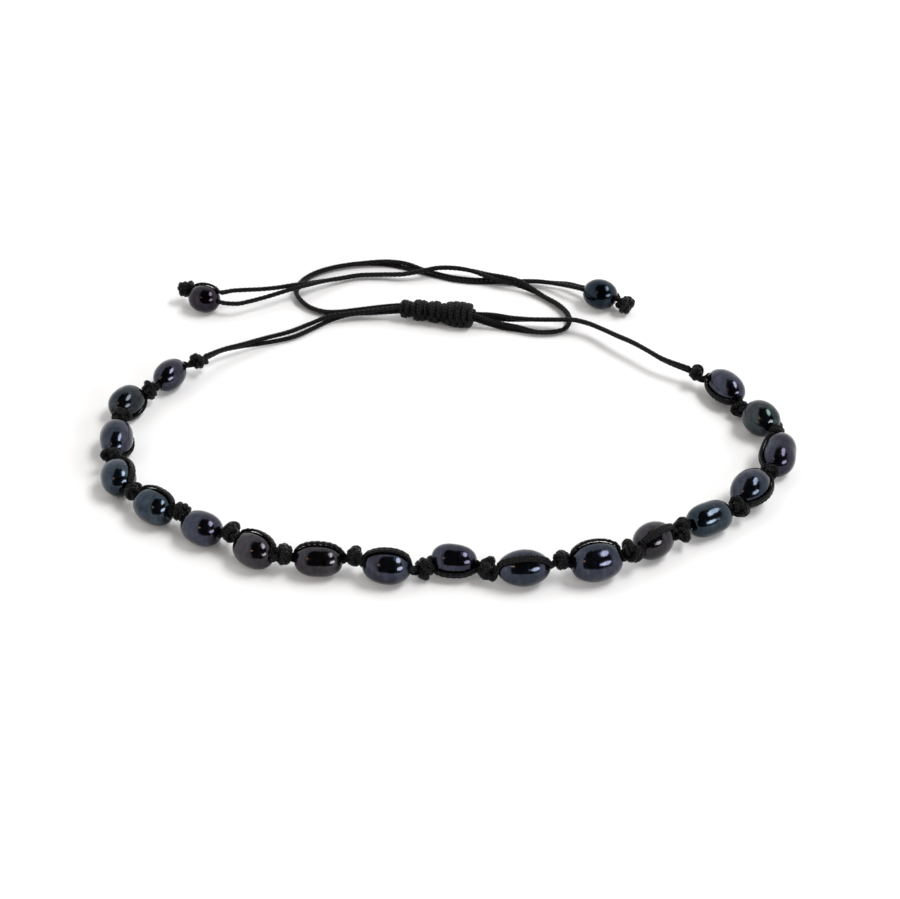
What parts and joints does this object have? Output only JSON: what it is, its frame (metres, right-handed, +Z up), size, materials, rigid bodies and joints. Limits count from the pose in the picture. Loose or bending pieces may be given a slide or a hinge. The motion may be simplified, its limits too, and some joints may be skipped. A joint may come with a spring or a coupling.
{
  "type": "pearl bracelet",
  "caption": "Knotted bracelet of dark rice pearls on black cord, closed by a sliding knot with two pearl-tipped tails.",
  "frame": {"origin": "on the surface that the bracelet lies on, under the middle of the bracelet without its free tails", "axes": "+X to the right along the loop's width, +Y from the front pearls to the sliding knot, +Z up"},
  "size_m": [0.085, 0.0706, 0.0049],
  "materials": {
    "pearl_01": "polished dark nacre",
    "pearl_02": "polished dark nacre",
    "pearl_03": "polished dark nacre",
    "pearl_04": "polished dark nacre",
    "pearl_05": "polished dark nacre",
    "pearl_06": "polished dark nacre",
    "pearl_07": "polished dark nacre",
    "pearl_08": "polished dark nacre",
    "pearl_09": "polished dark nacre",
    "pearl_10": "polished dark nacre",
    "pearl_11": "polished dark nacre",
    "pearl_12": "polished dark nacre",
    "pearl_13": "polished dark nacre",
    "pearl_14": "polished dark nacre",
    "pearl_15": "polished dark nacre",
    "pearl_16": "polished dark nacre",
    "pearl_17": "polished dark nacre",
    "pearl_18": "polished dark nacre",
    "left_end_pearl": "polished dark nacre",
    "right_end_pearl": "polished dark nacre",
    "black_cord": "waxed plaited black cord"
  },
  "bodies": {
    "root": {"pearl_01": "pearl_01", "pearl_02": "pearl_02", "pearl_03": "pearl_03", "pearl_04": "pearl_04", "pearl_05": "pearl_05", "pearl_06": "pearl_06", "pearl_07": "pearl_07", "pearl_08": "pearl_08", "pearl_09": "pearl_09", "pearl_10": "pearl_10", "pearl_11": "pearl_11", "pearl_12": "pearl_12", "pearl_13": "pearl_13", "pearl_14": "pearl_14", "pearl_15": "pearl_15", "pearl_16": "pearl_16", "pearl_17": "pearl_17", "pearl_18": "pearl_18", "left_end_pearl": "left_end_pearl", "right_end_pearl": "right_end_pearl", "knotted_cord": "black_cord", "left_cord_1": "black_cord", "left_cord_2": "black_cord", "right_cord_1": "black_cord", "right_cord_2": "black_cord", "sliding_knot": "black_cord", "left_tail_1": "black_cord", "left_tail_2": "black_cord", "right_tail_1": "black_cord", "right_tail_2": "black_cord", "left_end_knot": "black_cord", "right_end_knot": "black_cord"}
  },
  "joints": []
}
